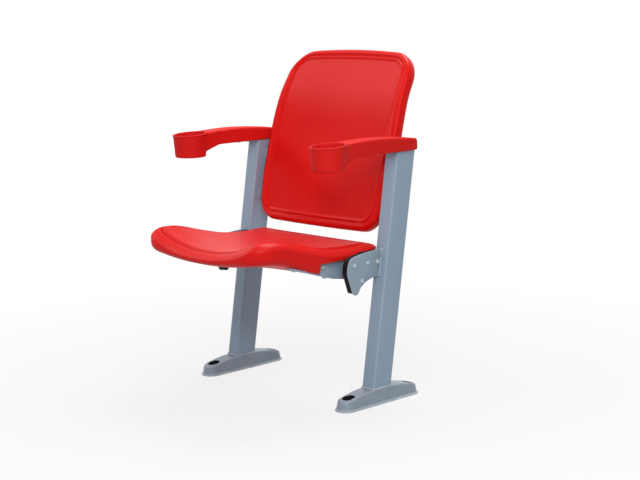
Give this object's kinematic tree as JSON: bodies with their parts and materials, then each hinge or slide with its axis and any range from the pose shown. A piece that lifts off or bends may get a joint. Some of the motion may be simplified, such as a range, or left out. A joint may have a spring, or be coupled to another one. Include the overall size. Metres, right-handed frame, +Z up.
{
  "type": "stadium seat",
  "caption": "Tip-up stadium seat with a hollow moulded seat and back on two leaning steel posts, cast feet, and moulded armrests that end in cup holders.",
  "frame": {"origin": "on the floor, at the centre of the footprint of the whole seat", "axes": "+Z up, the seat faces -Y, mirror plane at X = 0; right in a name means +X, as seen from in front"},
  "size_m": [0.5972, 0.5598, 0.8298],
  "materials": {
    "red_plastic": "semi-gloss red blow-moulded and injection-moulded polyethylene",
    "grey_paint": "satin blue-grey powder coat on steel",
    "cast_paint": "satin grey powder coat on a cast foot",
    "black_plastic": "black moulded nylon, slightly worn",
    "zinc_steel": "zinc-plated steel"
  },
  "bodies": {
    "frame": {"back_shell": "red_plastic", "right_post": "grey_paint", "left_post": "grey_paint", "right_foot": "cast_paint", "left_foot": "cast_paint", "right_front_bolt_cap": "black_plastic", "left_front_bolt_cap": "black_plastic", "right_rear_bolt_cap": "black_plastic", "left_rear_bolt_cap": "black_plastic", "right_armrest": "red_plastic", "left_armrest": "red_plastic", "right_armrest_plate": "grey_paint", "left_armrest_plate": "grey_paint", "right_armrest_screw_1": "zinc_steel", "left_armrest_screw_1": "zinc_steel", "right_armrest_screw_2": "zinc_steel", "left_armrest_screw_2": "zinc_steel", "right_hinge_plate": "grey_paint", "left_hinge_plate": "grey_paint", "right_hinge_housing": "black_plastic", "left_hinge_housing": "black_plastic", "right_rivet_1": "zinc_steel", "left_rivet_1": "zinc_steel", "right_rivet_2": "zinc_steel", "left_rivet_2": "zinc_steel", "right_rivet_3": "zinc_steel", "left_rivet_3": "zinc_steel", "right_rivet_4": "zinc_steel", "left_rivet_4": "zinc_steel", "right_lower_back_bracket": "grey_paint", "left_lower_back_bracket": "grey_paint", "right_lower_bracket_bolt": "zinc_steel", "left_lower_bracket_bolt": "zinc_steel", "right_lower_bracket_screw": "zinc_steel", "left_lower_bracket_screw": "zinc_steel", "right_upper_back_bracket": "grey_paint", "left_upper_back_bracket": "grey_paint", "right_upper_bracket_bolt": "zinc_steel", "left_upper_bracket_bolt": "zinc_steel", "right_upper_bracket_screw": "zinc_steel", "left_upper_bracket_screw": "zinc_steel"},
    "seat": {"seat_shell": "red_plastic", "right_seat_arm": "grey_paint", "left_seat_arm": "grey_paint", "right_pivot_hub": "zinc_steel", "left_pivot_hub": "zinc_steel", "right_arm_side_screw": "zinc_steel", "left_arm_side_screw": "zinc_steel", "right_seat_screw_1": "zinc_steel", "left_seat_screw_1": "zinc_steel", "right_seat_screw_2": "zinc_steel", "left_seat_screw_2": "zinc_steel"}
  },
  "joints": [
    {"name": "seat_tip_up", "type": "hinge", "parent": "frame", "child": "seat", "pos_m": [0, 0.0146, 0.328], "axis": [-1, 0, 0], "range_deg": [0, 80]}
  ]
}
